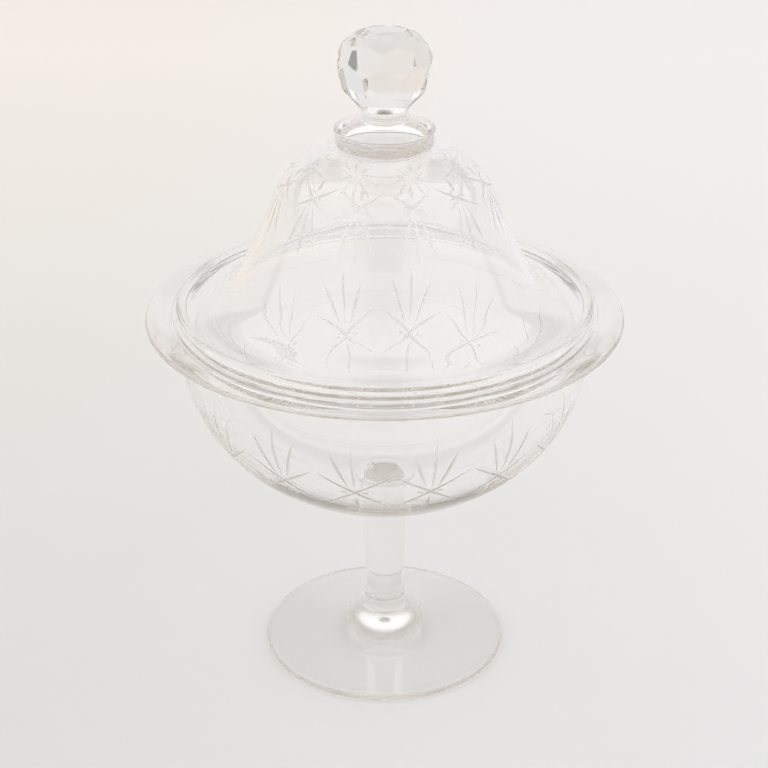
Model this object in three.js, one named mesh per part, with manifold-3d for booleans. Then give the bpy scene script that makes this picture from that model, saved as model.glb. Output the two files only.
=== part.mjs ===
// Covered dish for sweets in clear glass: a bowl on a stem with a band of wheel cuts, and its lid.
// Millimetres, +Z up. The origin is the centre of the foot's underside.
// Azimuths are in degrees, 0 towards -Y and rising towards +X.

import * as THREE from 'three';
import { mergeVertices } from 'three/addons/utils/BufferGeometryUtils.js';
import Module from 'manifold-3d';

const wasm = await Module();
wasm.setup();

// Foot, a disc whose underside is drawn up a little inside a flat ring
const footRadius = 52.9;
const footEdge = 3.0;
const footCentre = 4.2;
const footEdgeRound = 1.1;
const footRing = 8.4;
const footHollow = 0.9;

// Knop, the bun of glass between foot and stem
const knopHeight = 12.2;
const knopRadius = 17.1;
const knopWidestHeight = 5.4;
const knopBaseRadius = 14.2;
const knopTopRadius = 10.4;
const knopBaseTurn = 1.6;
const knopTopTurn = 1.2;

// Stem, a solid rod that widens where it meets the knop
const stemLength = 58.5;
const stemRadius = 9.1;
const stemWaist = 8.8;
const stemFlareHeight = 7.5;
const stemFlareStep = 0.4;
const stemFlareTurn = 2.0;

// Pad that joins the stem to the bowl
const padHeight = 2.6;
const padRadius = 13.3;
const padSeatRadius = 12.4;

// Bowl: its wall follows a rounded curve up to the shoulder, then draws in to the mouth
const bowlRadius = 85.8;
const bowlCurveHeight = 73.1;
const bowlCurvePower = 0.94;
const bowlWall = 2.3;
const bowlBottom = 3.2;
const bowlShoulderHeight = 53.5;
const bowlNeckHeight = 74.0;
const bowlNeckRadius = 82.4;
const bowlNeckLean = 0.9;
const neckTuck = 0.4;

// Flared rim of the bowl, with the flat seat that carries the lid and a low lip round it
const rimReach = 16.6;
const rimHeight = 84.5;
const rimThickness = 2.3;
const rimFlare = 6.6;
const rimDroop = 1.1;
const seatWidth = 5.4;
const lipWidth = 1.2;
const lipHeight = 0.7;
const mouthRound = 1.5;

// Lid: a bell whose skirt flares out to a round bead, which rests on the seat
const beadOverlap = 6.2;
const beadRadius = 2.2;
const beadFlat = 1.6;
const beadJoinHeight = 2.7;
const skirtWidth = 11.3;
const skirtGap = 0.4;
const bellHeight = 68.5;
const bellTopRadius = 20.0;
const bellWall = 2.4;
const bellCrown = 3.2;
const crownLean = 4.0;
const crownTurn = 13.0;
const crownFlatRadius = 33.0;
const bellFootRadius = 60.0;
const bellFootHeight = 16.3;
const bellShoulderRadius = 45.8;
const bellShoulderDrop = 22.0;
const bellTopDrop = 0.7;
const bellFlareTurn = 3.0;
const bellFlareStep = 0.2;
const bellInsideTurn = 7.5;
const skirtInsideRun = 15.0;

// Two-layer collar, neck and knob on top of the lid
const collarLowerHeight = 4.5;
const collarLowerRadius = 20.0;
const collarUpperHeight = 4.6;
const collarUpperRadius = 20.4;
const collarConeHeight = 3.6;
const collarRound = 1.1;
const neckRadius = 9.7;
const neckWaist = 9.4;
const neckHeight = 4.8;
const knobHeight = 29.7;
const knobBlankRadius = 22;
const knobCentreHeight = 11.6;
const knobSides = 8;
const knobAzimuth = -4;
const knobCrownReach = 21.2;
const knobUpperReach = 19.8;
const knobLowerReach = 16.4;
const knobBaseReach = 15.2;
// Each row of facets: how far its planes lie from the knob's centre, how steeply they
// look up, and whether the row is turned by half a facet
const knobRows = [
  { reach: knobCrownReach, tilt: 55.8, turned: false },
  { reach: knobUpperReach, tilt: 22.7, turned: true },
  { reach: knobLowerReach, tilt: -13.0, turned: false },
  { reach: knobBaseReach, tilt: -40.7, turned: true },
];

// Wheel cuts: V grooves, deepest at mid length
const grooveWidth = 1.3;
const grooveDepth = 0.75;
const grooveClear = 0.3;
const grooveRise = 3;

// Band of stars round the bowl. Heights are above the bowl's seat, angles from the star's centre.
const bowlStars = 16;
const bowlStarAzimuth = -8.8;
const bowlStarHeight = 37.9;
const bowlCrossUp = 10.4;
const bowlCrossDown = 10.4;
const bowlFanStart = 2.2;
const bowlFanCentre = 29.5;
const bowlFanSide = 23.5;
const bowlFanSpread = 6.5;
const bowlShortStart = 3.0;
const bowlShortEnd = 12.5;

// Band of stars round the lid's shoulder, as drops below the top of the bell
const lidStars = 12;
const lidStarAzimuth = -14;
const lidStarDrop = 10.3;
const lidCrossUp = 5.0;
const lidCrossDown = 5.6;
const lidFanStart = 2.0;
const lidFanCentre = 21.5;
const lidFanSide = 18.2;
const lidFanSpread = 8.6;
const lidShortStart = 1.6;
const lidShortEnd = 6.0;

// Number of flats round the wide pieces and the narrow ones
const wideSides = 48;
const narrowSides = 32;

// Levels, worked out from the heights above
const knopBottomZ = footCentre;
const knopTopZ = knopBottomZ + knopHeight;
const stemTopZ = knopTopZ + stemLength;
const bowlSeatZ = stemTopZ + padHeight;
const lidSeatZ = bowlSeatZ + rimHeight;
const bellTopZ = lidSeatZ + bellHeight;
const collarJointZ = bellTopZ + collarLowerHeight;
const collarEdgeZ = collarJointZ + collarUpperHeight;
const neckBottomZ = collarEdgeZ + collarConeHeight;
const knobBottomZ = neckBottomZ + neckHeight;

const mouthRadius = bowlNeckRadius - bowlWall;
const rimRadius = bowlNeckRadius + rimReach;
const lidRadius = mouthRadius + beadOverlap;
const bellFlareRadius = lidRadius - skirtWidth;

const clearGlass = { color: 0xe9ebe6, roughness: 0.03, metalness: 0 };
const thickGlass = { color: 0xdfe3dd, roughness: 0.02, metalness: 0 };

function at(radius, height) {
  return new THREE.Vector2(radius, height);
}

function arc(centreRadius, centreHeight, radius, from, to, steps) {
  const turn = THREE.MathUtils.degToRad;
  const curve = new THREE.EllipseCurve(
    centreRadius, centreHeight, radius, radius, turn(from), turn(to), to < from);
  return curve.getPoints(steps);
}

function bend(start, corner, end, steps) {
  return new THREE.QuadraticBezierCurve(start, corner, end).getPoints(steps);
}

function sweep(start, startPull, endPull, end, steps) {
  return new THREE.CubicBezierCurve(start, startPull, endPull, end).getPoints(steps);
}

// A solid of revolution about Z from a closed outline of radius and height
function turned(outline, sides, firstAzimuth = 0) {
  const points = outline.filter((point, i) => i === 0 || point.distanceTo(outline[i - 1]) > 1e-4);
  const ends = points[0].x === 0 && points.at(-1).x === 0;
  if (!ends) points.push(points[0].clone());
  const start = THREE.MathUtils.degToRad(firstAzimuth);
  const lathe = new THREE.LatheGeometry(points, sides, start);
  lathe.rotateX(Math.PI / 2);
  return lathe;
}

function solidOf(geometry) {
  const bare = geometry.clone();
  bare.deleteAttribute('normal');
  bare.deleteAttribute('uv');
  const merged = mergeVertices(bare, 1e-4);
  const mesh = new wasm.Mesh({
    numProp: 3,
    vertProperties: new Float32Array(merged.attributes.position.array),
    triVerts: new Uint32Array(merged.index.array),
  });
  return new wasm.Manifold(mesh);
}

function geometryOf(solid) {
  const mesh = solid.getMesh();
  const geometry = new THREE.BufferGeometry();
  geometry.setAttribute('position', new THREE.BufferAttribute(mesh.vertProperties, 3));
  geometry.setIndex(new THREE.BufferAttribute(mesh.triVerts, 1));
  geometry.computeVertexNormals();
  return geometry;
}

function piece(name, geometry, glass) {
  const mesh = new THREE.Mesh(geometry, new THREE.MeshStandardMaterial(glass));
  mesh.name = name;
  return mesh;
}

// Height of the bowl's outer curve above its lowest point, where it has the given radius
function bowlRise(radius) {
  const cosine = Math.pow(radius / bowlRadius, 1 / bowlCurvePower);
  return bowlCurveHeight * (1 - Math.sqrt(1 - cosine * cosine));
}

const bowlLowZ = bowlSeatZ - bowlRise(padSeatRadius);
const bowlWidestZ = bowlLowZ + bowlCurveHeight;

// Radius of a rounded curve that is widest at bowlWidestZ, at height z
function curveRadius(widest, lowestZ, z) {
  const sine = Math.min(1, Math.max(0, (bowlWidestZ - z) / (bowlWidestZ - lowestZ)));
  return widest * Math.pow(1 - sine * sine, bowlCurvePower / 2);
}

function bowlOuter(z) {
  return curveRadius(bowlRadius, bowlLowZ, z);
}

function bowlInner(z) {
  return curveRadius(bowlRadius - bowlWall, bowlSeatZ + bowlBottom, z);
}

// The curve's points from z low to z high, closer together where the bowl turns under
function curvePoints(radiusAt, lowZ, highZ, steps) {
  const points = [];
  for (let i = 0; i <= steps; i++) {
    const share = i / steps;
    const z = lowZ + (highZ - lowZ) * share * share;
    points.push(at(radiusAt(z), z));
  }
  return points;
}

function slopeOf(radiusAt, z) {
  const step = 0.5;
  return (radiusAt(z) - radiusAt(z - step)) / step;
}

// The part of the wall that draws in from the shoulder to the neck
function drawnIn(radiusAt, neck, steps) {
  const shoulderZ = bowlSeatZ + bowlShoulderHeight;
  const neckZ = bowlSeatZ + bowlNeckHeight;
  const pull = (neckZ - shoulderZ) / 3;
  const start = at(radiusAt(shoulderZ), shoulderZ);
  const startPull = at(start.x + slopeOf(radiusAt, shoulderZ) * pull, shoulderZ + pull);
  const endPull = at(neck + bowlNeckLean, neckZ - pull);
  return sweep(start, startPull, endPull, at(neck, neckZ), steps);
}

// Outer wall of the bowl from its seat to the neck, for the outline and for the cuts
const bowlOutside = [
  ...curvePoints(bowlOuter, bowlSeatZ, bowlSeatZ + bowlShoulderHeight, 7),
  ...drawnIn(bowlOuter, bowlNeckRadius, 3).slice(1),
];

function bellShoulder(steps) {
  const shoulderZ = bellTopZ - bellShoulderDrop;
  const lean = (bellFootRadius - bellShoulderRadius) / (shoulderZ - lidSeatZ - bellFootHeight);
  const pull = bellShoulderDrop * 0.55;
  return sweep(
    at(bellTopRadius, bellTopZ),
    at(bellTopRadius + pull, bellTopZ - bellTopDrop),
    at(bellShoulderRadius - lean * pull * 0.6, shoulderZ + pull),
    at(bellShoulderRadius, shoulderZ),
    steps);
}

// Outer wall of the bell from the collar to the start of the flare
const bellOutside = [...bellShoulder(7), at(bellFootRadius, lidSeatZ + bellFootHeight)];

// Radius of an outline at height z
function radiusOn(outline, z) {
  for (let i = 1; i < outline.length; i++) {
    const [a, b] = [outline[i - 1], outline[i]];
    if ((z - a.y) * (z - b.y) <= 0 && a.y !== b.y) {
      return a.x + (b.x - a.x) * (z - a.y) / (b.y - a.y);
    }
  }
  return outline.at(-1).x;
}

function onWall(outline, azimuth, z, lift = 0) {
  const angle = THREE.MathUtils.degToRad(azimuth);
  const radius = radiusOn(outline, z) + lift;
  return new THREE.Vector3(radius * Math.sin(angle), -radius * Math.cos(angle), z);
}

// Outward direction of the wall, from its slope just above and below z
function wallNormal(outline, azimuth, z) {
  const reach = 1;
  const slope = (radiusOn(outline, z + reach) - radiusOn(outline, z - reach)) / (2 * reach);
  const angle = THREE.MathUtils.degToRad(azimuth);
  return new THREE.Vector3(Math.sin(angle), -Math.cos(angle), -slope).normalize();
}

// A wheel cut between two places on the wall: a long spindle, V-shaped below the surface,
// with its ends just proud of the glass
function groove(outline, from, to) {
  const midAzimuth = (from.azimuth + to.azimuth) / 2;
  const midZ = (from.z + to.z) / 2;
  const start = onWall(outline, from.azimuth, from.z, grooveClear);
  const end = onWall(outline, to.azimuth, to.z, grooveClear);
  const middle = onWall(outline, midAzimuth, midZ);
  const out = wallNormal(outline, midAzimuth, midZ);
  const across = out.clone().cross(end.clone().sub(start)).normalize();
  const left = middle.clone().addScaledVector(across, grooveWidth / 2);
  const right = middle.clone().addScaledVector(across, -grooveWidth / 2);
  const top = middle.clone().addScaledVector(out, grooveRise);
  const bottom = middle.clone().addScaledVector(out, -grooveDepth);
  const corners = [start, end, left, right, bottom, top];
  const geometry = new THREE.BufferGeometry().setFromPoints(corners);
  geometry.setIndex([
    1, 2, 5, 2, 0, 5, 0, 3, 5, 3, 1, 5,
    2, 1, 4, 0, 2, 4, 3, 0, 4, 1, 3, 4,
  ]);
  return solidOf(geometry);
}

// One star: two long cuts that cross and run on into the neighbours' zigzag,
// a fan of three, and a short cut opposite the fan
function starCuts(outline, azimuth, z, step, star) {
  const place = (turn, height) => ({ azimuth: azimuth + turn, z: z + height });
  return [
    groove(outline, place(-step / 2, star.crossUp), place(step / 2, -star.crossDown)),
    groove(outline, place(-step / 2, -star.crossDown), place(step / 2, star.crossUp)),
    groove(outline, place(0, star.fanStart), place(0, star.fanCentre)),
    groove(outline, place(-star.spread / 4, star.fanStart), place(-star.spread, star.fanSide)),
    groove(outline, place(star.spread / 4, star.fanStart), place(star.spread, star.fanSide)),
    groove(outline, place(0, star.shortStart), place(0, star.shortEnd)),
  ];
}

function cutBand(blank, outline, count, firstAzimuth, z, star) {
  const step = 360 / count;
  let solid = solidOf(blank);
  for (let i = 0; i < count; i++) {
    for (const cut of starCuts(outline, firstAzimuth + i * step, z, step, star)) {
      solid = solid.subtract(cut);
    }
  }
  return geometryOf(solid);
}

function foot() {
  const ringInner = footRadius - footRing;
  const outline = [
    at(0, footHollow),
    at(ringInner / 2, footHollow * 0.8),
    at(ringInner, 0),
    at(footRadius - footEdgeRound, 0),
    ...arc(footRadius - footEdgeRound, footEdgeRound, footEdgeRound, -60, 0, 1),
    ...arc(footRadius - footEdgeRound, footEdge - footEdgeRound, footEdgeRound, 0, 90, 2),
    at((footRadius + knopBaseRadius) / 2, (footEdge + footCentre) / 2),
    at(knopBaseRadius, footCentre),
    at(0, footCentre),
  ];
  return piece('foot', turned(outline, wideSides), clearGlass);
}

function stemKnop() {
  const widest = at(knopRadius, knopBottomZ + knopWidestHeight);
  const outline = [
    at(0, knopBottomZ),
    ...bend(at(knopBaseRadius, knopBottomZ), at(knopRadius, knopBottomZ + knopBaseTurn), widest, 3),
    ...bend(widest, at(knopRadius, knopTopZ - knopTopTurn), at(knopTopRadius, knopTopZ), 4).slice(1),
    at(0, knopTopZ),
  ];
  return piece('stem_knop', turned(outline, narrowSides), thickGlass);
}

function stem() {
  const waistZ = knopTopZ + stemFlareHeight;
  const flareRadius = knopTopRadius - stemFlareStep;
  const flareFoot = at(flareRadius, knopTopZ + stemFlareStep);
  const outline = [
    at(0, knopTopZ),
    at(flareRadius, knopTopZ),
    ...bend(flareFoot, at(stemWaist, knopTopZ + stemFlareTurn), at(stemWaist, waistZ), 3),
    at(stemRadius, stemTopZ),
    at(0, stemTopZ),
  ];
  return piece('stem', turned(outline, narrowSides), thickGlass);
}

function bowlPad() {
  const middleZ = stemTopZ + padHeight / 2;
  const outline = [
    at(0, stemTopZ),
    ...bend(at(stemRadius, stemTopZ), at(padRadius, stemTopZ), at(padRadius, middleZ), 3),
    at(padSeatRadius, bowlSeatZ),
    at(0, bowlSeatZ),
  ];
  return piece('bowl_pad', turned(outline, narrowSides), thickGlass);
}

function bowlBlank() {
  const insideLowZ = bowlSeatZ + bowlBottom;
  const shoulderZ = bowlSeatZ + bowlShoulderHeight;
  const neckZ = bowlSeatZ + bowlNeckHeight;
  const edgeRadius = rimThickness / 2;
  const edgeZ = lidSeatZ - rimDroop - edgeRadius;
  const flareEnd = at(bowlNeckRadius + rimFlare, edgeZ - edgeRadius);
  const flareCorner = at(bowlNeckRadius - neckTuck, flareEnd.y);
  const seatInner = mouthRadius + mouthRound;
  const outline = [
    at(0, bowlSeatZ),
    ...bowlOutside,
    ...bend(at(bowlNeckRadius, neckZ), flareCorner, flareEnd, 3).slice(1),
    ...arc(rimRadius - edgeRadius, edgeZ, edgeRadius, -90, 90, 3),
    at(seatInner + seatWidth + lipWidth, lidSeatZ + lipHeight),
    at(seatInner + seatWidth, lidSeatZ),
    ...arc(seatInner, lidSeatZ - mouthRound, mouthRound, 90, 180, 2),
    ...drawnIn(bowlInner, mouthRadius, 2).reverse(),
    ...curvePoints(bowlInner, insideLowZ, shoulderZ, 7).reverse().slice(1),
  ];
  return turned(outline, wideSides, bowlStarAzimuth);
}

function bowl() {
  const star = {
    crossUp: bowlCrossUp,
    crossDown: bowlCrossDown,
    fanStart: bowlFanStart,
    fanCentre: bowlFanCentre,
    fanSide: bowlFanSide,
    spread: bowlFanSpread,
    shortStart: -bowlShortStart,
    shortEnd: -bowlShortEnd,
  };
  const starZ = bowlSeatZ + bowlStarHeight;
  const cut = cutBand(bowlBlank(), bowlOutside, bowlStars, bowlStarAzimuth, starZ, star);
  return piece('bowl', cut, clearGlass);
}

function bellBlank() {
  const footZ = lidSeatZ + bellFootHeight;
  const joinZ = lidSeatZ + beadJoinHeight;
  const shoulderZ = bellTopZ - bellShoulderDrop;
  const lean = (bellFootRadius - bellShoulderRadius) / (shoulderZ - footZ);
  const across = bellWall * Math.sqrt(1 + lean * lean);
  const flareStart = at(bellFootRadius, footZ);
  const flareCorner = at(bellFootRadius + lean * (footZ - joinZ) * 0.7, joinZ + bellFlareTurn);
  const flareEnd = at(bellFlareRadius, joinZ + bellFlareStep);
  const beadCentre = at(lidRadius - beadRadius, lidSeatZ + beadRadius);
  const joinAngle = 180 - THREE.MathUtils.radToDeg(Math.asin(beadJoinHeight / beadRadius - 1));
  const skirtEnd = at(beadCentre.x - beadRadius, lidSeatZ + skirtGap);
  const insideStart = at(bellFootRadius - across, footZ - bellWall * lean);
  const crownZ = bellTopZ - bellCrown;
  const insideShoulder = at(bellShoulderRadius - across, shoulderZ - bellWall * lean);
  const outline = [
    at(0, bellTopZ),
    ...bellShoulder(7),
    ...bend(flareStart, flareCorner, flareEnd, 3),
    ...arc(beadCentre.x, beadCentre.y, beadRadius, joinAngle, -90, 6),
    at(beadCentre.x - beadFlat, lidSeatZ),
    ...sweep(
      skirtEnd,
      at(skirtEnd.x - skirtInsideRun, skirtEnd.y),
      at(insideStart.x + lean * bellInsideTurn, insideStart.y - bellInsideTurn),
      insideStart,
      6),
    ...sweep(
      insideShoulder,
      at(insideShoulder.x - crownLean, insideShoulder.y + crownTurn),
      at(crownFlatRadius, crownZ),
      at(0, crownZ),
      5),
  ];
  return turned(outline.reverse(), wideSides, lidStarAzimuth);
}

function lidBell() {
  const star = {
    crossUp: lidCrossUp,
    crossDown: lidCrossDown,
    fanStart: -lidFanStart,
    fanCentre: -lidFanCentre,
    fanSide: -lidFanSide,
    spread: lidFanSpread,
    shortStart: lidShortStart,
    shortEnd: lidShortEnd,
  };
  const starZ = bellTopZ - lidStarDrop;
  const cut = cutBand(bellBlank(), bellOutside, lidStars, lidStarAzimuth, starZ, star);
  return piece('lid_bell', cut, clearGlass);
}

function collarLower() {
  const inner = collarLowerRadius - collarRound;
  const outline = [
    at(0, bellTopZ),
    ...arc(inner, bellTopZ + collarRound, collarRound, -90, 0, 3),
    ...arc(inner, collarJointZ - collarRound / 2, collarRound / 2, 0, 90, 2),
    at(0, collarJointZ),
  ];
  return piece('collar_lower', turned(outline, narrowSides), thickGlass);
}

function collarUpper() {
  const inner = collarUpperRadius - collarRound;
  const outline = [
    at(0, collarJointZ),
    at(inner, collarJointZ),
    at(collarUpperRadius, collarJointZ + collarRound),
    at(collarUpperRadius, collarEdgeZ - collarRound * 1.5),
    at(inner, collarEdgeZ),
    at(neckRadius, neckBottomZ),
    at(0, neckBottomZ),
  ];
  return piece('collar_upper', turned(outline, narrowSides), thickGlass);
}

function knobNeck() {
  const waist = at(neckWaist * 2 - neckRadius, (neckBottomZ + knobBottomZ) / 2);
  const outline = [
    at(0, neckBottomZ),
    ...bend(at(neckRadius, neckBottomZ), waist, at(neckRadius, knobBottomZ), 4),
    at(0, knobBottomZ),
  ];
  return piece('knob_neck', turned(outline, narrowSides), thickGlass);
}

// Everything beyond a plane at the given reach from the knob's centre, as a large block
function beyondPlane(azimuth, tilt, reach, centreZ) {
  const size = knobBlankRadius * 3;
  const block = new THREE.BoxGeometry(size, size, size);
  block.translate(0, 0, reach + size / 2);
  block.rotateX(THREE.MathUtils.degToRad(90 - tilt));
  block.rotateZ(THREE.MathUtils.degToRad(azimuth));
  block.translate(0, 0, centreZ);
  return solidOf(block);
}

function knob() {
  const topZ = knobBottomZ + knobHeight;
  const centreZ = knobBottomZ + knobCentreHeight;
  const blank = [
    at(0, knobBottomZ),
    at(knobBlankRadius, knobBottomZ),
    at(knobBlankRadius, topZ),
    at(0, topZ),
  ];
  let solid = solidOf(turned(blank, narrowSides));
  for (const row of knobRows) {
    for (let i = 0; i < knobSides; i++) {
      const azimuth = knobAzimuth + (i + (row.turned ? 0.5 : 0)) * 360 / knobSides;
      solid = solid.subtract(beyondPlane(azimuth, row.tilt, row.reach, centreZ));
    }
  }
  return piece('knob', geometryOf(solid), thickGlass);
}

const dish = new THREE.Group();
dish.name = 'dish';
dish.add(foot(), stemKnop(), stem(), bowlPad(), bowl());

const lid = new THREE.Group();
lid.name = 'lid';
lid.add(lidBell(), collarLower(), collarUpper(), knobNeck(), knob());

const coveredDish = new THREE.Group();
coveredDish.name = 'covered_dish';
coveredDish.add(dish, lid);

export default coveredDish;
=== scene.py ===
import bmesh
import bpy
import numpy as np
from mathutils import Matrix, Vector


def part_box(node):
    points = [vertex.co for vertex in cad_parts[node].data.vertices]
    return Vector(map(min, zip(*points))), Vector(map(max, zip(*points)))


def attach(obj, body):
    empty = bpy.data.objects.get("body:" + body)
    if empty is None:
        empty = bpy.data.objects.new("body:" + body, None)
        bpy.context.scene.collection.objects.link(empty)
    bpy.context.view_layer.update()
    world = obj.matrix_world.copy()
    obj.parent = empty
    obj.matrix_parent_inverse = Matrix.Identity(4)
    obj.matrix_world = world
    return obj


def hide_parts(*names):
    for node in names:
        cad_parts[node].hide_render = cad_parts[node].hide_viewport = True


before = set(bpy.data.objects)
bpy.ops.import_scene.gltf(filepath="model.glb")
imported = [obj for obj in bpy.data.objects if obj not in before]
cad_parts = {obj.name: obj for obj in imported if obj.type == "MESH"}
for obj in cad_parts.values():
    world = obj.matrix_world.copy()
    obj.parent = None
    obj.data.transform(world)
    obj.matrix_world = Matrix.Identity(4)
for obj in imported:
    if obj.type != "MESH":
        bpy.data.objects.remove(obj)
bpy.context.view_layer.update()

# A covered glass dish on a stem. Shapes are worked out in millimetres and written in metres.
# Azimuth 0 is towards -Y, the camera's side, and it rises towards +X.

mm = 0.001
near = 0.001  # mm, two places closer than this are taken as one


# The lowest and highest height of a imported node, in mm
def heights(node):
    low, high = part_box(node)
    return low.z / mm, high.z / mm


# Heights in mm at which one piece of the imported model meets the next
level = {
    "footTop": heights("foot")[1],
    "knopTop": heights("stem_knop")[1],
    "stemTop": heights("stem")[1],
    "bowlSeat": heights("bowl")[0],
    "lidSeat": heights("lid_bell")[0],
    "bellTop": heights("lid_bell")[1],
    "collarJoint": heights("collar_lower")[1],
    "neckBottom": heights("collar_upper")[1],
    "knobBottom": heights("knob")[0],
    "top": heights("knob")[1],
}


# An outline is a row of points (radius, height), joined from runs, each with its count of points.
# A straight run: point = a * (1 - share) + b * share
def run(a, b, count):
    share = np.linspace(0, 1, count)[:, None]
    return np.array(a) * (1 - share) + np.array(b) * share


# Points at centre + radius * (cos t, sin t), t in degrees from outwards towards up
def roundRun(centre, radius, start, end, count):
    t = np.radians(np.linspace(start, end, count))
    return np.array(centre) + radius * np.stack([np.cos(t), np.sin(t)], 1)


# Bezier curve: the sum of binomial(n, k) * t^k * (1 - t)^(n - k) * pull k
def bend(pulls, count):
    pulls = np.array(pulls, float)
    t = np.linspace(0, 1, count)[:, None]
    power = np.arange(len(pulls))
    binomial = np.cumprod(np.r_[1.0, (len(pulls) - power[1:]) / power[1:]])
    return (binomial * t**power * (1 - t) ** power[::-1]) @ pulls


# Natural cubic spline through the points, measured along their chords: between two points
# it is the cubic whose second derivatives m solve h0 m0 + 2 (h0 + h1) m1 + h1 m2 = 6 (s1 - s0)
def through(points, count):
    points = np.array(points, float)
    h = np.linalg.norm(np.diff(points, axis=0), axis=1)
    at = np.r_[0, np.cumsum(h)]
    n = len(points)
    system = np.eye(n)
    inner = np.arange(1, n - 1)
    system[inner, inner - 1] = h[:-1]
    system[inner, inner] = 2 * (h[:-1] + h[1:])
    system[inner, inner + 1] = h[1:]
    slopes = np.diff(points, axis=0) / h[:, None]
    right = np.zeros_like(points)
    right[1:-1] = 6 * np.diff(slopes, axis=0)
    m = np.linalg.solve(system, right)
    t = np.linspace(0, at[-1], count)
    k = np.clip(np.searchsorted(at, t) - 1, 0, n - 2)
    b = ((t - at[k]) / h[k])[:, None]
    a = 1 - b
    bow = (a**3 - a) * m[k] + (b**3 - b) * m[k + 1]
    return a * points[k] + b * points[k + 1] + bow * (h[k] ** 2)[:, None] / 6


# Joins runs of points into one outline, leaving out points that repeat the last one
def outlineOf(*runs):
    line = np.concatenate([np.atleast_2d(np.array(r, float)) for r in runs])
    apart = np.r_[True, np.linalg.norm(np.diff(line, axis=0), axis=1) > near]
    return line[apart]


# A smooth mesh from corners in mm, with its edges left sharp from so many degrees on
def meshFrom(name, verts, faces, sharpAngle=35):
    mesh = bpy.data.meshes.new(name)
    mesh.from_pydata(verts * mm, [], faces)
    mesh.update()
    mesh.shade_smooth()
    mesh.set_sharp_from_angle(angle=np.radians(sharpAngle))
    piece = bpy.data.objects.new(name, mesh)
    bpy.context.scene.collection.objects.link(piece)
    return piece


jointGap = 0.005  # mm that each face of a joint stands back, so light meets first one, then the other


# A number on each face, which the glass reads
def markFaces(piece, name, marks):
    layer = piece.data.attributes.new(name, "FLOAT", "FACE")
    layer.data.foreach_set("value", marks.astype(np.float32))


# Surface of revolution: the point at azimuth a and place j on the outline, which starts and
# ends on the axis, is (r_j sin a, -r_j cos a, z_j). Faces whose outline run lies flat in one of
# the joints, given as (height, radius), are marked as fused glass.
def turned(name, outline, sides, joints):
    r, z = outline[1:-1].T
    a = np.linspace(0, 2 * np.pi, sides, endpoint=False)[:, None]
    rings = np.stack([r * np.sin(a), -r * np.cos(a), z + 0 * a], 2).reshape(-1, 3)
    verts = np.concatenate([[[0, 0, outline[0, 1]]], rings, [[0, 0, outline[-1, 1]]]])
    n = len(r)
    i = np.arange(sides)[:, None]
    here, there = 1 + i * n, 1 + (i + 1) % sides * n
    j = np.arange(n - 1)[None, :]
    quads = np.stack([here + j, there + j, there + j + 1, here + j + 1], 2).reshape(-1, 4)
    low = np.concatenate([here * 0, there, here], 1)
    high = np.concatenate([here + n - 1, there + n - 1, here * 0 + len(verts) - 1], 1)
    # place on the outline of each face, in the same order
    place = np.r_[np.tile(np.arange(1, n), sides), np.zeros(sides), np.full(sides, n)].astype(int)
    flat = np.zeros(len(outline) - 1, bool)
    for height, radius in joints:
        onJoint = (np.abs(outline[:, 1] - height) < near) & (outline[:, 0] < radius + near)
        flat |= onJoint[:-1] & onJoint[1:]
        out = np.hypot(*verts[:, :2].T)
        touching = (np.abs(verts[:, 2] - height) < near) & (out < radius + near)
        verts[touching, 2] += jointGap * np.sign(outline[:, 1].mean() - height)
    piece = meshFrom(name, verts, quads.tolist() + low.tolist() + high.tolist())
    markFaces(piece, "joint", flat[place])
    return piece


# sRGB hex code to linear colour
def hexColour(code):
    srgb = np.array([int(code[i : i + 2], 16) / 255 for i in (0, 2, 4)])
    linear = np.where(srgb <= 0.04045, srgb / 12.92, ((srgb + 0.055) / 1.055) ** 2.4)
    return (*linear, 1.0)


# Adds a node: settings are its properties, values its sockets, each a value or another's output
def addNode(tree, kind, values=None, **settings):
    node = tree.nodes.new(kind)
    for name, value in settings.items():
        setattr(node, name, value)
    for socket, value in (values or {}).items():
        if isinstance(value, bpy.types.NodeSocket):
            tree.links.new(value, node.inputs[socket])
        else:
            node.inputs[socket].default_value = value
    return node


# A new material and its empty node tree
def newMaterial(name):
    material = bpy.data.materials.new(name)
    material.use_nodes = True
    material.node_tree.nodes.clear()
    return material, material.node_tree


# Soda glass with its green taken out by manganese: white at a glance, smoky where light runs far
glassInside = {"colour": "f4f2ef", "density": 20, "ior": 1.51}
# A face that the grinding wheel left. The grit, in mm, is coarser than the real one, so that it shows.
groundFace = {"roughness": 0.7, "grit": 0.6, "depth": 0.015}
noiseDetail = 2.0


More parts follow.
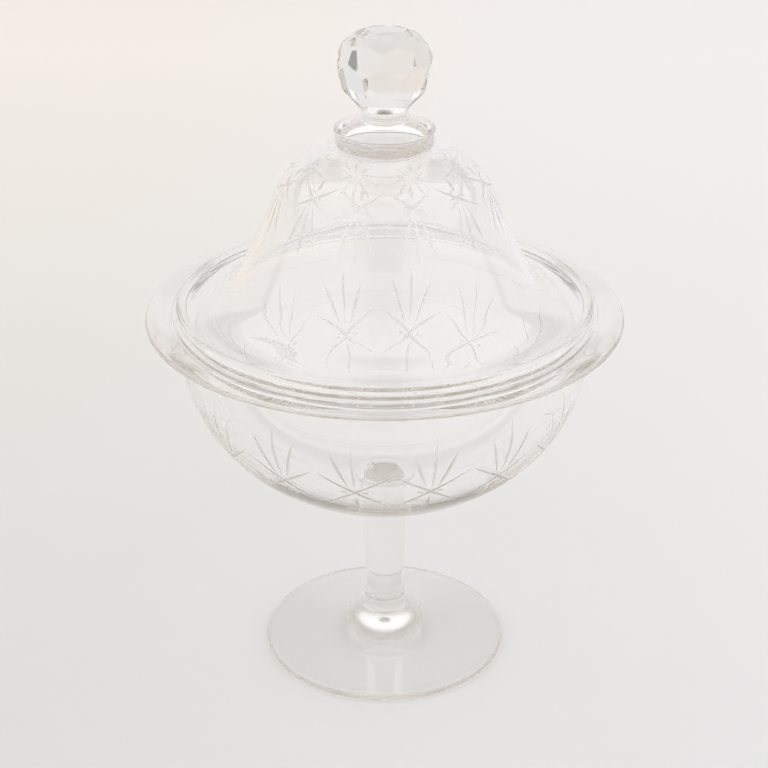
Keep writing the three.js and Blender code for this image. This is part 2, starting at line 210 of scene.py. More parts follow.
# Clear glass with slow waves in its face, a length and a height in mm. Faces marked ground are
# left by the grinding wheel, never polished, so they scatter what passes through. Faces marked
# joint are fused to the next gather of glass, so there is no face for light to bend at.
def glassMaterial(name, waveLength, waveHeight):
    material, tree = newMaterial(name)
    place = addNode(tree, "ShaderNodeTexCoord")
    ground = addNode(tree, "ShaderNodeAttribute", attribute_name="ground")
    joint = addNode(tree, "ShaderNodeAttribute", attribute_name="joint")
    solid = addNode(tree, "ShaderNodeMath", {0: 1.0, 1: joint.outputs["Fac"]}, operation="SUBTRACT")
    rough = addNode(
        tree,
        "ShaderNodeMath",
        {0: ground.outputs["Fac"], 1: groundFace["roughness"]},
        operation="MULTIPLY",
    )
    waves = addNode(
        tree,
        "ShaderNodeTexNoise",
        {
            "Vector": place.outputs["Object"],
            "Scale": 1 / (waveLength * mm),
            "Detail": noiseDetail,
        },
    )
    bump = addNode(
        tree,
        "ShaderNodeBump",
        {"Height": waves.outputs["Fac"], "Distance": waveHeight * mm, "Strength": 1.0},
    )
    grit = addNode(
        tree,
        "ShaderNodeTexNoise",
        {
            "Vector": place.outputs["Object"],
            "Scale": 1 / (groundFace["grit"] * mm),
            "Detail": noiseDetail,
        },
    )
    scratched = addNode(
        tree,
        "ShaderNodeBump",
        {
            "Height": grit.outputs["Fac"],
            "Distance": groundFace["depth"] * mm,
            "Strength": ground.outputs["Fac"],
            "Normal": bump.outputs["Normal"],
        },
    )
    glass = addNode(
        tree,
        "ShaderNodeBsdfPrincipled",
        {
            "Base Color": (1, 1, 1, 1),
            "Roughness": rough.outputs["Value"],
            "IOR": glassInside["ior"],
            "Transmission Weight": 1.0,
            "Alpha": solid.outputs["Value"],
            "Normal": scratched.outputs["Normal"],
        },
    )
    inside = addNode(
        tree,
        "ShaderNodeVolumeAbsorption",
        {"Color": hexColour(glassInside["colour"]), "Density": glassInside["density"]},
    )
    addNode(
        tree,
        "ShaderNodeOutputMaterial",
        {"Surface": glass.outputs["BSDF"], "Volume": inside.outputs["Volume"]},
    )
    return material


# Blown and fire polished: long slow waves that bend what stands behind them
blownGlass = glassMaterial("blown_soda_glass", 26, 0.012)
# Pressed flat while it was soft: shorter and deeper waves, so that its reflections wander
footGlass = glassMaterial("foot_soda_glass", 14, 0.03)
# Gathered and turned against wet wood: small even waves, close to a lens
solidGlass = glassMaterial("gathered_soda_glass", 12, 0.008)
# Cut flat and polished: almost true faces with crisp reflections
facetGlass = glassMaterial("polished_cut_glass", 30, 0.005)


# Gives a finished piece its glass, its body and its slot, and hides the node it stands for
def finishPiece(piece, body, node, material):
    piece.data.materials.append(material)
    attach(piece, body)
    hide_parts(node)
    print("made", piece.name, len(piece.data.polygons), "faces")


# A solid gather of glass, turned from its outline and finished
def makeGather(name, body, node, outline, sides, joints):
    piece = turned(name, outline, sides, joints)
    finishPiece(piece, body, node, solidGlass)


foot = {
    "radius": 52.9,
    "edge": 3.0,
    "edgeRound": 1.1,
    "edgeEnd": 87,  # degrees at which the upper rounding meets the top face
    "topFace": [(36, 3.45), (24, 3.85)],  # points between the edge and the knop
    "ring": 8.4,  # from the edge to where the hollow starts
    "ringStep": 0.05,  # height at which the hollow starts
    "ringTurn": 0.6,
    "ringFlat": 1.5,  # from the hollow to the flat of the ring
    "hollow": 0.9,
    "hollowHalf": 0.8,  # share of the hollow's height, half way out
    "wear": 0.3,  # of a ground face's roughness, on the underside
    "sides": 240,
}
knop = {
    "radius": 17.1,
    "widest": 5.4,  # height above the foot
    "base": 14.2,
    "top": 10.4,
    "lowTurn": 1.6,
    "highTurn": 1.2,
    "sides": 160,
}


def makeFoot():
    edgeRound, step = foot["edgeRound"], foot["ringStep"]
    rim, edge = foot["radius"] - edgeRound, foot["edge"] - edgeRound
    ring = foot["radius"] - foot["ring"]
    flat = ring + foot["ringFlat"]
    halfWay = (ring * 0.5, foot["hollow"] * foot["hollowHalf"])
    outline = outlineOf(
        through([(0, foot["hollow"]), halfWay, (ring, step)], 24),
        bend([(ring, step), (ring + foot["ringTurn"], 0), (flat, 0)], 4),
        run((flat, 0), (rim, 0), 4),
        roundRun((rim, edgeRound), edgeRound, -90, 0, 8),
        roundRun((rim, edge), edgeRound, 0, foot["edgeEnd"], 8),
        through([(rim, foot["edge"]), *foot["topFace"], (knop["base"], level["footTop"])], 30),
        (0, level["footTop"]),
    )
    piece = turned("dish_foot", outline, foot["sides"], [(level["footTop"], knop["base"])])
    centres = np.empty(len(piece.data.polygons) * 3)
    piece.data.polygons.foreach_get("center", centres)
    underside = centres[2::3] < edgeRound * mm
    markFaces(piece, "ground", underside * foot["wear"])
    finishPiece(piece, "dish", "foot", footGlass)


makeFoot()

stem = {
    "radius": 9.1,
    "waist": 8.8,
    "flare": 7.5,  # height of the flare on the knop
    "flareTurn": 0.6,
    "waistTurn": 2.4,
    "swell": (0.1, 20),  # wider than the waist by, at this height above the knop
    "straight": 12,  # length of the straight run under the pad
    "step": 0.4,
    "sides": 160,
}
pad = {"radius": 13.3, "seat": 12.4, "seatTurn": 0.3}


def makeKnop():
    low, high = level["footTop"], level["knopTop"]
    radius, flare = knop["radius"], knop["top"] - stem["step"]
    widest = (radius, low + knop["widest"])
    outline = outlineOf(
        (0, low),
        bend([(knop["base"], low), (radius, low + knop["lowTurn"]), widest], 14),
        bend([widest, (radius, high - knop["highTurn"]), (knop["top"], high)], 18),
        (flare, high),
        (0, high),
    )
    joints = [(low, knop["base"]), (high, flare)]
    makeGather("stem_knop_glass", "dish", "stem_knop", outline, knop["sides"], joints)


def makeStem():
    low, high = level["knopTop"], level["stemTop"]
    flare = knop["top"] - stem["step"]
    radius, waist = stem["radius"], stem["waist"]
    flareTop = (waist, low + stem["flare"])
    swell = (waist + stem["swell"][0], low + stem["swell"][1])
    flarePulls = [(flare, low + stem["flareTurn"]), (waist, low + stem["waistTurn"])]
    outline = outlineOf(
        (0, low),
        (flare, low),
        bend([(flare, low), *flarePulls, flareTop], 16),
        through([flareTop, swell, (radius, high - stem["straight"]), (radius, high)], 24),
        (0, high),
    )
    joints = [(low, flare), (high, radius)]
    makeGather("stem_rod", "dish", "stem", outline, stem["sides"], joints)


def makePad():
    low, high = level["stemTop"], level["bowlSeat"]
    middle = (pad["radius"], (low + high) / 2)
    outline = outlineOf(
        (0, low),
        (stem["radius"], low),
        bend([(stem["radius"], low), (pad["radius"], low), middle], 10),
        bend([middle, (pad["radius"], high - pad["seatTurn"]), (pad["seat"], high)], 6),
        (0, high),
    )
    joints = [(low, stem["radius"]), (high, pad["seat"])]
    makeGather("bowl_pad_glass", "dish", "bowl_pad", outline, stem["sides"], joints)


makeKnop()
makeStem()
makePad()

bowl = {
    "radius": 85.8,  # of the curve that the wall follows, widest where it would close
    "curveHeight": 73.1,
    "curvePower": 0.94,
    "wall": 2.3,
    "bottom": 3.2,
    "shoulder": 53.5,  # heights above the seat
    "neck": 74.0,
    "neckRadius": 82.4,
    "neckLean": 0.9,
    "rim": 99.0,
    "rimThickness": 2.3,
    "rimFlare": 6.6,
    "rimPull": 0.4,  # how far the curve under the rim first draws in
    "rimDroop": 1.1,
    "rimSwell": 1.1,  # of the rim's top face, half way to the lip
    "rimEnd": 86,  # degrees at which the rim's rounding meets its top face
    "seatWidth": 2.7,
    "lipWidth": 1.2,
    "lipHeight": 0.7,
    "lipTurn": 0.4,
    "mouthRound": 4.2,  # the mouth opens into the seat in a quarter ellipse
    "mouthHeight": 11.0,
    "sides": 288,
}
seatGap = 0.05  # mm that the lid's bead and its seat on the rim each stand back


# Rounded curve r = R cos(u)^p, z = widest - (widest - low) sin(u), between two heights
def wallCurve(radius, low, widest, start, end, count):
    u = np.arcsin(np.clip((widest - np.array([start, end])) / (widest - low), 0, 1))
    u = np.linspace(u[0], u[1], count)
    return np.stack([radius * np.cos(u) ** bowl["curvePower"], widest - (widest - low) * np.sin(u)], 1)


# Outside and inside of the bowl up to its neck: the rounded curve to the shoulder, then a bend
# that leaves it along its slope and comes to the neck leaning in by neckLean
def bowlCurves():
    seat = level["bowlSeat"]
    share = (pad["seat"] / bowl["radius"]) ** (1 / bowl["curvePower"])
    low = seat - bowl["curveHeight"] * (1 - np.sqrt(1 - share**2))
    widest = low + bowl["curveHeight"]
    shoulder, neck = seat + bowl["shoulder"], seat + bowl["neck"]
    sides = []
    for inset, start in ((0, seat), (bowl["wall"], seat + bowl["bottom"])):
        curveLow = low if inset == 0 else start
        wall = wallCurve(bowl["radius"] - inset, curveLow, widest, start, shoulder, 40)
        slope = (wall[-1, 0] - wall[-2, 0]) / (wall[-1, 1] - wall[-2, 1])
        pull = (neck - shoulder) / 3
        radius = bowl["neckRadius"] - inset
        drawn = bend(
            [
                wall[-1],
                (wall[-1, 0] + slope * pull, shoulder + pull),
                (radius + bowl["neckLean"], neck - pull),
                (radius, neck),
            ],
            18,
        )
        sides.append((wall, drawn))
    return sides


(bowlWall, bowlDrawn), (insideWall, insideDrawn) = bowlCurves()
bowlOutside = outlineOf(bowlWall, bowlDrawn)


# The bowl's whole outline: up the outside, round the rim, over the lip and the seat, down inside
def bowlOutline():
    seat, top = level["bowlSeat"], level["lidSeat"]
    edge = bowl["rimThickness"] / 2
    edgeZ = top - bowl["rimDroop"] - edge
    edgeIn = bowl["rim"] - edge
    neck = (bowl["neckRadius"], seat + bowl["neck"])
    under = (bowl["neckRadius"] + bowl["rimFlare"], edgeZ - edge)
    mouth = bowl["neckRadius"] - bowl["wall"]
    seatIn = mouth + bowl["mouthRound"]
    seatOut = seatIn + bowl["seatWidth"]
    lipTop = (seatOut + bowl["lipWidth"], top + bowl["lipHeight"])
    swell = ((bowl["rim"] + lipTop[0]) / 2, edgeZ + edge + bowl["rimSwell"])
    # a quarter circle of radius 1, stretched into the mouth's quarter ellipse
    mouthCurve = roundRun((0, 0), 1, 90, 180, 16) * (bowl["mouthRound"], bowl["mouthHeight"])
    return outlineOf(
        (0, seat),
        bowlWall,
        bowlDrawn,
        bend([neck, (bowl["neckRadius"] - bowl["rimPull"], under[1]), under], 14),
        run(under, (edgeIn, edgeZ - edge), 6),
        roundRun((edgeIn, edgeZ), edge, -90, bowl["rimEnd"], 14),
        through([(edgeIn, edgeZ + edge), swell, lipTop], 14),
        bend([lipTop, (seatOut + bowl["lipTurn"], top), (seatOut, top - seatGap)], 8),
        run((seatOut, top - seatGap), (seatIn, top - seatGap), 4),
        mouthCurve + (seatIn, top - bowl["mouthHeight"] - seatGap),
        insideDrawn[::-1],
        insideWall[::-1],
    )


cuts = {
    "depth": 0.7,
    "tickShare": 0.7,  # of that depth, for the two short ticks
    "middle": 1.06,  # shares of the depth: in the middle of a cut, and lost towards its ends
    "loss": 1.12,
    "flank": 44.0,  # degrees between the V's middle and each side
    "proud": 0.8,  # how far the cutter stands above the glass
    "reach": 0.5,  # mm up and down the wall over which its slope is taken
    "stations": 15,
    "cutterAngle": 10,  # degrees from which an edge of the cutter is sharp
    "edgeAngle": 24,  # degrees from which an edge of the cut piece is sharp
}


# V-shaped cutters, one for each star. A cutter runs over the wall from (azimuth, height) a to b,
# and at share s of the way, -1 to 1, it is depth * (middle - loss * s^2) deep, as a wheel leaves
# it: corners are the wall's point - normal * depth, and the point + normal * proud +- side * width.
def cutters(name, wall, azimuths, a, b, depth):
    s = np.linspace(-1, 1, cuts["stations"])
    order = np.argsort(wall[:, 1])
    heightsOn, radiiOn = wall[order, 1], wall[order, 0]
    azimuth = np.radians(azimuths[:, None] + (a[0] + b[0]) / 2 + (b[0] - a[0]) / 2 * s)
    z = (a[1] + b[1]) / 2 + (b[1] - a[1]) / 2 * s + 0 * azimuth
    r = np.interp(z, heightsOn, radiiOn)
    above, below = (np.interp(z + way * cuts["reach"], heightsOn, radiiOn) for way in (1, -1))
    slope = (above - below) / (2 * cuts["reach"])
    on = np.stack([r * np.sin(azimuth), -r * np.cos(azimuth), z], 2)
    normal = np.stack([np.sin(azimuth), -np.cos(azimuth), -slope], 2)
    normal /= np.linalg.norm(normal, axis=2, keepdims=True)
    along = np.gradient(on, axis=1)
    side = np.cross(normal, along)
    side /= np.linalg.norm(side, axis=2, keepdims=True)
    deep = (depth * (cuts["middle"] - cuts["loss"] * s**2))[None, :, None]
    wide = (deep + cuts["proud"]) * np.tan(np.radians(cuts["flank"]))
    top = on + normal * cuts["proud"]
    corners = np.stack([on - normal * deep, top + side * wide, top - side * wide], 2)
    verts = corners.reshape(-1, 3)
    n, each = cuts["stations"], cuts["stations"] * 3
    first = (np.arange(len(azimuths)) * each)[:, None, None]
    here = first + (np.arange(n - 1) * 3)[None, :, None]
    k = np.arange(3)[None, None, :]
    k2 = (k + 1) % 3
    quads = np.stack([here + k, here + k2, here + 3 + k2, here + 3 + k], 3).reshape(-1, 4)
    start = (first[:, 0] + np.array([0, 2, 1])).tolist()
    end = (first[:, 0] + each - 3 + np.array([0, 1, 2])).tolist()
    return meshFrom(name, verts, quads.tolist() + start + end, cuts["cutterAngle"])


# Works the piece's modifiers into its mesh
def applyModifiers(piece):
    bpy.context.view_layer.update()
    done = bpy.data.meshes.new_from_object(piece.evaluated_get(bpy.context.evaluated_depsgraph_get()))
    piece.modifiers.clear()
    piece.data = done


# Takes the cutter out of the piece. The faces that it leaves are ground.
def cutAway(piece, cutter):
    markFaces(cutter, "ground", np.ones(len(cutter.data.polygons)))
    saw = piece.modifiers.new("cut", "BOOLEAN")
    saw.operation = "DIFFERENCE"
    saw.solver = "EXACT"
    saw.object = cutter
    applyModifiers(piece)
    bpy.data.objects.remove(cutter)


bowlStar = {
    "count": 16,
    "azimuth": -8.8,
    "height": 37.9,  # of the crossing, above the bowl's seat
    "cross": (10.4, 10.4),  # how far the crossing lines fall and rise to the next star
    "fanStart": 2.2,
    "fanCentre": 29.5,
    "fanSide": 23.5,
    "spread": 6.5,  # degrees to each side at the fan's far end, and a quarter of it at the near end
    "shortStart": -3.0,
    "shortEnd": -12.5,
    "tickStart": 1.9,  # degrees each side of the crossing
    "tickEnd": 4.3,
}


# The cuts of one star, each from (azimuth, height) to (azimuth, height) about its crossing
def starLines(star, up):
    half = 180 / star["count"]
    low, high = star["cross"]
    start, centre, side = up * star["fanStart"], up * star["fanCentre"], up * star["fanSide"]
    spread = star["spread"]
    return {
        "crossDown": ((-half, high), (half, -low)),
        "crossUp": ((-half, -low), (half, high)),
        "fanCentre": ((0, start), (0, centre)),
        "fanLeft": ((-spread / 4, start), (-spread, side)),
        "fanRight": ((spread / 4, start), (spread, side)),
        "short": ((0, star["shortStart"]), (0, star["shortEnd"])),
        "tickLeft": ((-star["tickEnd"], 0), (-star["tickStart"], 0)),
        "tickRight": ((star["tickStart"], 0), (star["tickEnd"], 0)),
    }


# A band of stars with their crossings at height z, and fans that point up (1) or down (-1)
def cutBand(piece, wall, star, z, up):
    azimuths = star["azimuth"] + np.arange(star["count"]) * 360 / star["count"]
    for name, (a, b) in starLines(star, up).items():
        depth = cuts["depth"] * (cuts["tickShare"] if name.startswith("tick") else 1)
        cutter = cutters(name, wall, azimuths, (a[0], z + a[1]), (b[0], z + b[1]), depth)
        cutAway(piece, cutter)
    piece.data.set_sharp_from_angle(angle=np.radians(cuts["edgeAngle"]))


def makeBowl():
    piece = turned("bowl_glass", bowlOutline(), bowl["sides"], [(level["bowlSeat"], pad["seat"])])
    cutBand(piece, bowlOutside, bowlStar, level["bowlSeat"] + bowlStar["height"], 1)
    finishPiece(piece, "dish", "bowl", blownGlass)


makeBowl()

lid = {
    "radius": 86.3,
    "bead": 2.2,
    "beadFlat": 1.6,  # how far inside the bead's middle its flat underside starts
    "beadJoin": 3.15,  # height above the seat at which the skirt runs into the bead
    "skirtWidth": 11.3,
    "skirtLift": 0.2,
    "skirtGap": 1.0,  # height of the skirt's underside at the bead
    "insideTurn": 7.5,
    "insideRun": 15.0,
    "top": 20.0,
    "topDrop": 0.7,
    "wall": 2.4,
    "crown": 3.2,  # thickness of the glass under the collar
    "crownFlat": 33.0,
    "crownLean": 4.0,
    "crownTurn": 13.0,
    "shoulderRadius": 45.8,
    "shoulderDrop": 22.0,
    "shoulderRound": 0.55,  # share of that drop over which the shoulder bends
    "shoulderLean": 0.6,  # shares of the side's lean that the bends above and below it take
    "flareLean": 0.7,
    "flareLift": 3,
    "footRadius": 60.0,  # where the bell's side starts to flare
    "footHeight": 16.3,
    "sides": 288,
}
collar = {
    "bottom": 14.8,
    "bottomTurn": (1.4, 0.4),  # inwards and upwards
    "sideTurn": (2.1, 0.8),  # above the bell and below the joint
    "ring": 19.9,
    "groove": 19.0,
    "edge": 20.4,
    "ringTop": 1.6,  # above the joint of the two gathers
    "grooveTurn": 0.6,
    "grooveHeight": 2.9,
    "edgeDrop": 4.3,  # below the neck
    "edgeWidth": 0.8,
    "cone": 3.5,
    "bulge": 0.2,  # of the edge and of the cone
    "sides": 160,
}


# The bell's outer and inner run. Both lean by the same share, radius for height, between the
# shoulder and the foot, and the wall is measured square to that side.
def bellRuns():
    low, top = level["lidSeat"] + seatGap, level["bellTop"]
    footZ, shoulder = low + lid["footHeight"], top - lid["shoulderDrop"]
    lean = (lid["footRadius"] - lid["shoulderRadius"]) / (shoulder - footZ)
    pull = lid["shoulderDrop"] * lid["shoulderRound"]
    join = low + lid["beadJoin"]
    middle = (lid["radius"] - lid["bead"], low + lid["bead"])
    flare = lid["radius"] - lid["skirtWidth"]
    corner = (lid["footRadius"] + lean * (footZ - join) * lid["flareLean"], join + lid["flareLift"])
    over = bend(
        [
            (lid["top"], top),
            (lid["top"] + pull, top - lid["topDrop"]),
            (lid["shoulderRadius"] - lean * pull * lid["shoulderLean"], shoulder + pull),
            (lid["shoulderRadius"], shoulder),
        ],
        9,
    )
    beadStart = 180 - np.degrees(np.arcsin(lid["beadJoin"] / lid["bead"] - 1))
    bead = roundRun(middle, lid["bead"], beadStart, -90, 36)
    skirt = bend([(lid["footRadius"], footZ), corner, (flare, join + lid["skirtLift"])], 5)
    outside = through(np.concatenate([over, skirt, [bead[0]]]), 100)
    across = lid["wall"] * np.sqrt(1 + lean**2)
    crown = top - lid["crown"]
    insideShoulder = (lid["shoulderRadius"] - across, shoulder - lid["wall"] * lean)
    insideFoot = (lid["footRadius"] - across, footZ - lid["wall"] * lean)
    crownRun = bend(
        [
            (0, crown),
            (lid["crownFlat"], crown),
            (insideShoulder[0] - lid["crownLean"], insideShoulder[1] + lid["crownTurn"]),
            insideShoulder,
        ],
        10,
    )
    end = (middle[0] - lid["bead"], low + lid["skirtGap"])
    turn = lid["insideTurn"]
    inner = [
        (insideFoot[0] + lean * turn, insideFoot[1] - turn),
        (end[0] - lid["insideRun"], end[1]),
    ]
    skirtInside = bend([insideFoot, *inner, end], 8)
    inside = through(np.concatenate([crownRun, skirtInside]), 100)
    flatStart = (middle[0] - lid["beadFlat"], low)
    return outside[::-1], outlineOf(inside, flatStart, bead[::-1])


bellOutside, bellInside = bellRuns()

lidStar = {
    "count": 12,
    "azimuth": -14.0,
    "drop": 10.3,  # of the crossing, below the top of the bell
    "cross": (5.6, 5.0),
    "fanStart": 2.0,
    "fanCentre": 21.5,
    "fanSide": 18.2,
    "spread": 8.6,
    "shortStart": 1.6,
    "shortEnd": 6.0,
    "tickStart": 3.0,
    "tickEnd": 5.4,
}


def makeBell():
    joint = (level["bellTop"], collar["bottom"])
    outline = outlineOf(bellInside, bellOutside, (joint[1], joint[0]), (0, joint[0]))
    piece = turned("lid_bell_glass", outline, lid["sides"], [joint])
    cutBand(piece, bellOutside, lidStar, level["bellTop"] - lidStar["drop"], -1)
    finishPiece(piece, "lid", "lid_bell", blownGlass)


makeBell()

neck = {"radius": 9.7, "waist": 9.4, "sides": 160}


def makeCollar():
    low, middle, high = level["bellTop"], level["collarJoint"], level["neckBottom"]
    bottom, ring, groove, edge = (collar[key] for key in ("bottom", "ring", "groove", "edge"))
    (turnIn, turnUp), (sideLow, sideHigh) = collar["bottomTurn"], collar["sideTurn"]
    side = [(ring - turnIn, low + turnUp), (ring, low + sideLow), (ring, middle - sideHigh)]
    lower = outlineOf(
        (0, low),
        (bottom, low),
        bend([(bottom, low), *side], 18),
        (ring, middle),
        (0, middle),
    )
    joints = [(low, bottom), (middle, ring)]
    makeGather("collar_lower_glass", "lid", "collar_lower", lower, collar["sides"], joints)
    inward, outward = middle + collar["ringTop"], middle + collar["grooveHeight"]
    side, top = (edge, high - collar["edgeDrop"]), high - collar["cone"]
    coneStart, coneEnd = (edge - collar["edgeWidth"], top), (neck["radius"], high)
    cone = ((edge + neck["radius"]) / 2, (top + high) / 2 + collar["bulge"])
    turnOut = (groove, inward + collar["grooveTurn"])
    upper = outlineOf(
        (0, middle),
        (ring, middle),
        bend([(ring, middle), (ring, inward), turnOut, (groove, outward)], 12),
        bend([(groove, outward), (edge, outward + collar["bulge"]), side], 8),
        bend([side, (edge, top - collar["bulge"]), coneStart], 8),
        bend([coneStart, cone, coneEnd], 16),
        (0, high),
    )
    joints = [(middle, ring), (high, neck["radius"])]
    makeGather("collar_upper_glass", "lid", "collar_upper", upper, collar["sides"], joints)


def makeNeck():
    low, high = level["neckBottom"], level["knobBottom"]
    # the curve passes half way between its ends and this point
    waist = (neck["waist"] * 2 - neck["radius"], (low + high) / 2)
    outline = outlineOf(
        (0, low),
        bend([(neck["radius"], low), waist, (neck["radius"], high)], 16),
        (0, high),
    )
    joints = [(low, neck["radius"]), (high, neck["radius"])]
    makeGather("knob_neck_glass", "lid", "knob_neck", outline, neck["sides"], joints)


makeCollar()
makeNeck()

knob = {
    "azimuth": -4,
    "centre": 11.6,
    "edge": 0.16,
    "edgeSteps": 2,
    "sharpAngle": 8,  # degrees from which an edge between facets is sharp
    # For each row of facets: how far they stand from the centre, degrees that they look up, turned
    # by half a facet or not, and how many. The last row is fine enough to be a smooth cone.
    "rows": [(21.2, 55.8, 0, 8), (19.8, 22.7, 1, 8), (16.4, -13.0, 0, 8), (15.2, -40.7, 1, 48)],
}


# Corners of the solid n . p <= d for all planes: every three planes meet where
# p = inverse([n1 n2 n3]) (d1 d2 d3), and the points inside all the planes are kept
def planeSolid(normals, reach):
    leastDet, slack, decimals = 1e-6, 1e-4, 3  # below it no corner; mm outside; the same corner
    count = len(normals)
    i, j, k = np.array([(a, b, c) for a in range(count) for b in range(a) for c in range(b)]).T
    system = np.stack([normals[i], normals[j], normals[k]], 1)
    right = np.stack([reach[i], reach[j], reach[k]], 1)
    fine = np.abs(np.linalg.det(system)) > leastDet
    points = np.linalg.solve(system[fine], right[fine][..., None])[..., 0]
    points = points[(points @ normals.T <= reach + slack).all(1)]
    points = points[np.unique(np.round(points, decimals), axis=0, return_index=True)[1]]
    faces = []
    for normal, far in zip(normals, reach):
        on = np.flatnonzero(np.abs(points @ normal - far) < 2 * near)
        if len(on) < 3:
            continue
        # corners in the order of their angle about the normal, v = normal x u
        out = points[on] - points[on].mean(0)
        u = out[0] / np.linalg.norm(out[0])
        v = np.cross(normal, u)
        faces.append(on[np.argsort(np.arctan2(out @ v, out @ u))].tolist())
    return points, faces


# Parts the knob's underside into the round joint with the neck and the glass left round it
def openJoint(mesh, height):
    body = bmesh.new()
    body.from_mesh(mesh)
    marks = body.faces.layers.float.new("joint")
    under = min(body.faces, key=lambda face: face.calc_center_median().z)
    outer = list(under.edges)
    bmesh.ops.delete(body, geom=[under], context="FACES_ONLY")
    a = np.linspace(0, 2 * np.pi, neck["sides"], endpoint=False)
    x, y = neck["radius"] * np.sin(a), neck["radius"] * np.cos(a)
    ring = np.stack([x, y, height + jointGap + 0 * a], 1)
    joint = body.faces.new([body.verts.new(point * mm) for point in ring])
    joint[marks] = 1.0
    edges = outer + list(joint.edges)
    bmesh.ops.triangle_fill(body, use_beauty=True, edges=edges, normal=(0, 0, -1))
    body.to_mesh(mesh)
    body.free()


# The n of a facet at azimuth a that looks up by t is (cos t sin a, -cos t cos a, sin t)
def makeKnob():
    low, high = level["knobBottom"], level["top"]
    centre = low + knob["centre"]
    normals, reach = [(0, 0, 1), (0, 0, -1)], [high - centre, centre - low]
    for far, tilt, half, sides in knob["rows"]:
        a = np.radians(knob["azimuth"] + (np.arange(sides) + half * 0.5) * 360 / sides)
        t = np.radians(tilt)
        ring = np.stack([np.cos(t) * np.sin(a), -np.cos(t) * np.cos(a), np.sin(t) + 0 * a], 1)
        normals.extend(ring)
        reach.extend([far] * sides)
    points, faces = planeSolid(np.array(normals, float), np.array(reach, float))
    piece = meshFrom("knob_glass", points + np.array([0, 0, centre]), faces, knob["sharpAngle"])
    soften = piece.modifiers.new("soften", "BEVEL")
    soften.width = knob["edge"] * mm
    soften.segments = knob["edgeSteps"]
    soften.limit_method = "NONE"
    applyModifiers(piece)
    openJoint(piece.data, low)
    piece.data.shade_smooth()
    piece.data.set_sharp_from_angle(angle=np.radians(knob["sharpAngle"]))
    finishPiece(piece, "lid", "knob", facetGlass)


makeKnob()

# In metres, degrees and shares of full light
studio = {
    "paper": "e0dfdd",
    # The paper's colour carries painted light and shade: it is drawn lighter behind, to the right and
    # up the sweep, as if the light fell off in front and to the left, and darker at its top as painted
    # shade. Axis, from, to and the colour that it takes on.
    "paintedLight": [
        ("Y", -0.15, 0.9, "f8f2eb"),
        ("X", -0.2, 0.6, "f6f5f8"),
        ("Z", 0.3, 1.0, "ffffff"),
        ("Z", 1.75, 1.95, "a8a5a0"),
    ],
    "width": 30.0,
    "front": -15.0,
    "flatCuts": (-1.0, 1.0),
    "backdrop": 3.2,
    "bend": 1.6,
    "rise": 3.0,
    "below": 0.0002,  # how far the paper lies under the foot
    # Light by direction: axis, from, to, and the light at each of these. Less comes from straight
    # above, from low down, and from the dark side of the room behind the camera.
    "room": [
        ("Z", 0.955, 0.985, 1.13, 0.35),
        ("Z", 0.0, 0.3, 0.55, 1.0),
        ("Y", -0.95, -0.8, 0.35, 1.0),
    ],
    "sensor": 36.0,
    "lens": 89.02,
    "camera": (-0.0003, -0.721, 0.4838),
    "pitch": 26.42,
}


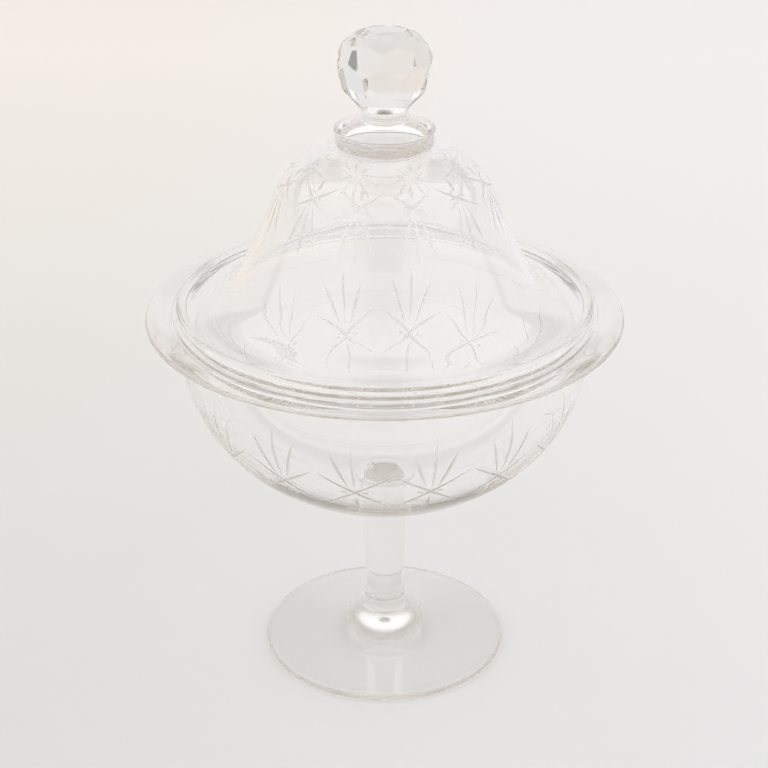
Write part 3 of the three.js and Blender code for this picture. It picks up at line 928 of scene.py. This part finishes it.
# Paper sweep: a flat floor that turns up behind the object in a quarter circle, where
# y = back - bend + bend * sin t and z = bend - bend * cos t, and rises
def makeFloor():
    front, back, turn = studio["front"], studio["backdrop"], studio["bend"]
    t = np.linspace(0, np.pi / 2, 24)
    y = np.concatenate([[front, *studio["flatCuts"]], back - turn + turn * np.sin(t), [back]])
    z = np.concatenate([[0, 0, 0], turn - turn * np.cos(t), [studio["rise"]]]) - studio["below"]
    x = np.linspace(-studio["width"] / 2, studio["width"] / 2, 3)[:, None]
    verts = np.stack([x + 0 * y, y + 0 * x, z + 0 * x], 2).reshape(-1, 3)
    n = len(y)
    i, j = np.arange(2)[:, None] * n, np.arange(n - 1)[None, :]
    faces = np.stack([i + j, i + n + j, i + n + j + 1, i + j + 1], 2).reshape(-1, 4)
    floor = meshFrom("paper_sweep", verts / mm, faces.tolist())
    material, tree = newMaterial("sweep_paper")
    place = addNode(tree, "ShaderNodeTexCoord")
    part = addNode(tree, "ShaderNodeSeparateXYZ", {"Vector": place.outputs["Object"]})
    # matt drawing paper: it scatters all light, so it shows soft shadow and no reflection
    colour = hexColour(studio["paper"])
    # the paper's colour takes on its painted light and shade, one row after another
    for axis, low, high, towards in studio["paintedLight"]:
        share = addNode(
            tree,
            "ShaderNodeMapRange",
            {"Value": part.outputs[axis], "From Min": low, "From Max": high},
        )
        mix = addNode(
            tree,
            "ShaderNodeMix",
            {0: share.outputs["Result"], 6: colour, 7: hexColour(towards)},
            data_type="RGBA",
        )
        colour = mix.outputs[2]
    paper = addNode(tree, "ShaderNodeBsdfDiffuse", {"Color": colour})
    addNode(tree, "ShaderNodeOutputMaterial", {"Surface": paper.outputs["BSDF"]})
    floor.data.materials.append(material)


# Soft light all round: the product of one smooth step for each row of the room
def makeWorld():
    world = bpy.data.worlds.new("studio")
    bpy.context.scene.world = world
    world.use_nodes = True
    tree = world.node_tree
    tree.nodes.clear()
    way = addNode(tree, "ShaderNodeTexCoord")
    part = addNode(tree, "ShaderNodeSeparateXYZ", {"Vector": way.outputs["Generated"]})
    light = None
    for axis, low, high, atLow, atHigh in studio["room"]:
        step = addNode(
            tree,
            "ShaderNodeMapRange",
            {
                "Value": part.outputs[axis],
                "From Min": low,
                "From Max": high,
                "To Min": atLow,
                "To Max": atHigh,
            },
            interpolation_type="SMOOTHSTEP",
        ).outputs["Result"]
        if light is None:
            light = step
            continue
        product = addNode(tree, "ShaderNodeMath", {0: light, 1: step}, operation="MULTIPLY")
        light = product.outputs["Value"]
    sky = addNode(tree, "ShaderNodeBackground", {"Color": (1, 1, 1, 1), "Strength": light})
    addNode(tree, "ShaderNodeOutputWorld", {"Surface": sky.outputs["Background"]})


def makeCamera():
    camera = bpy.data.objects.new("camera", bpy.data.cameras.new("camera"))
    bpy.context.scene.collection.objects.link(camera)
    camera.data.sensor_width = studio["sensor"]
    camera.data.lens = studio["lens"]
    camera.location = studio["camera"]
    camera.rotation_euler = (np.radians(90 - studio["pitch"]), 0, 0)
    bpy.context.scene.camera = camera


makeFloor()
makeWorld()
makeCamera()
print("made the floor, the light and the camera")

view = bpy.context.scene.view_settings
view.view_transform = "Standard"
cycles = bpy.context.scene.cycles
# light that runs round inside the wall needs many turns before it comes out again
bounces = 256
cycles.max_bounces = cycles.transmission_bounces = cycles.transparent_max_bounces = bounces
cycles.glossy_bounces = bounces
cycles.blur_glossy = 0.0  # at its default, glass lets through a third of the light that it should
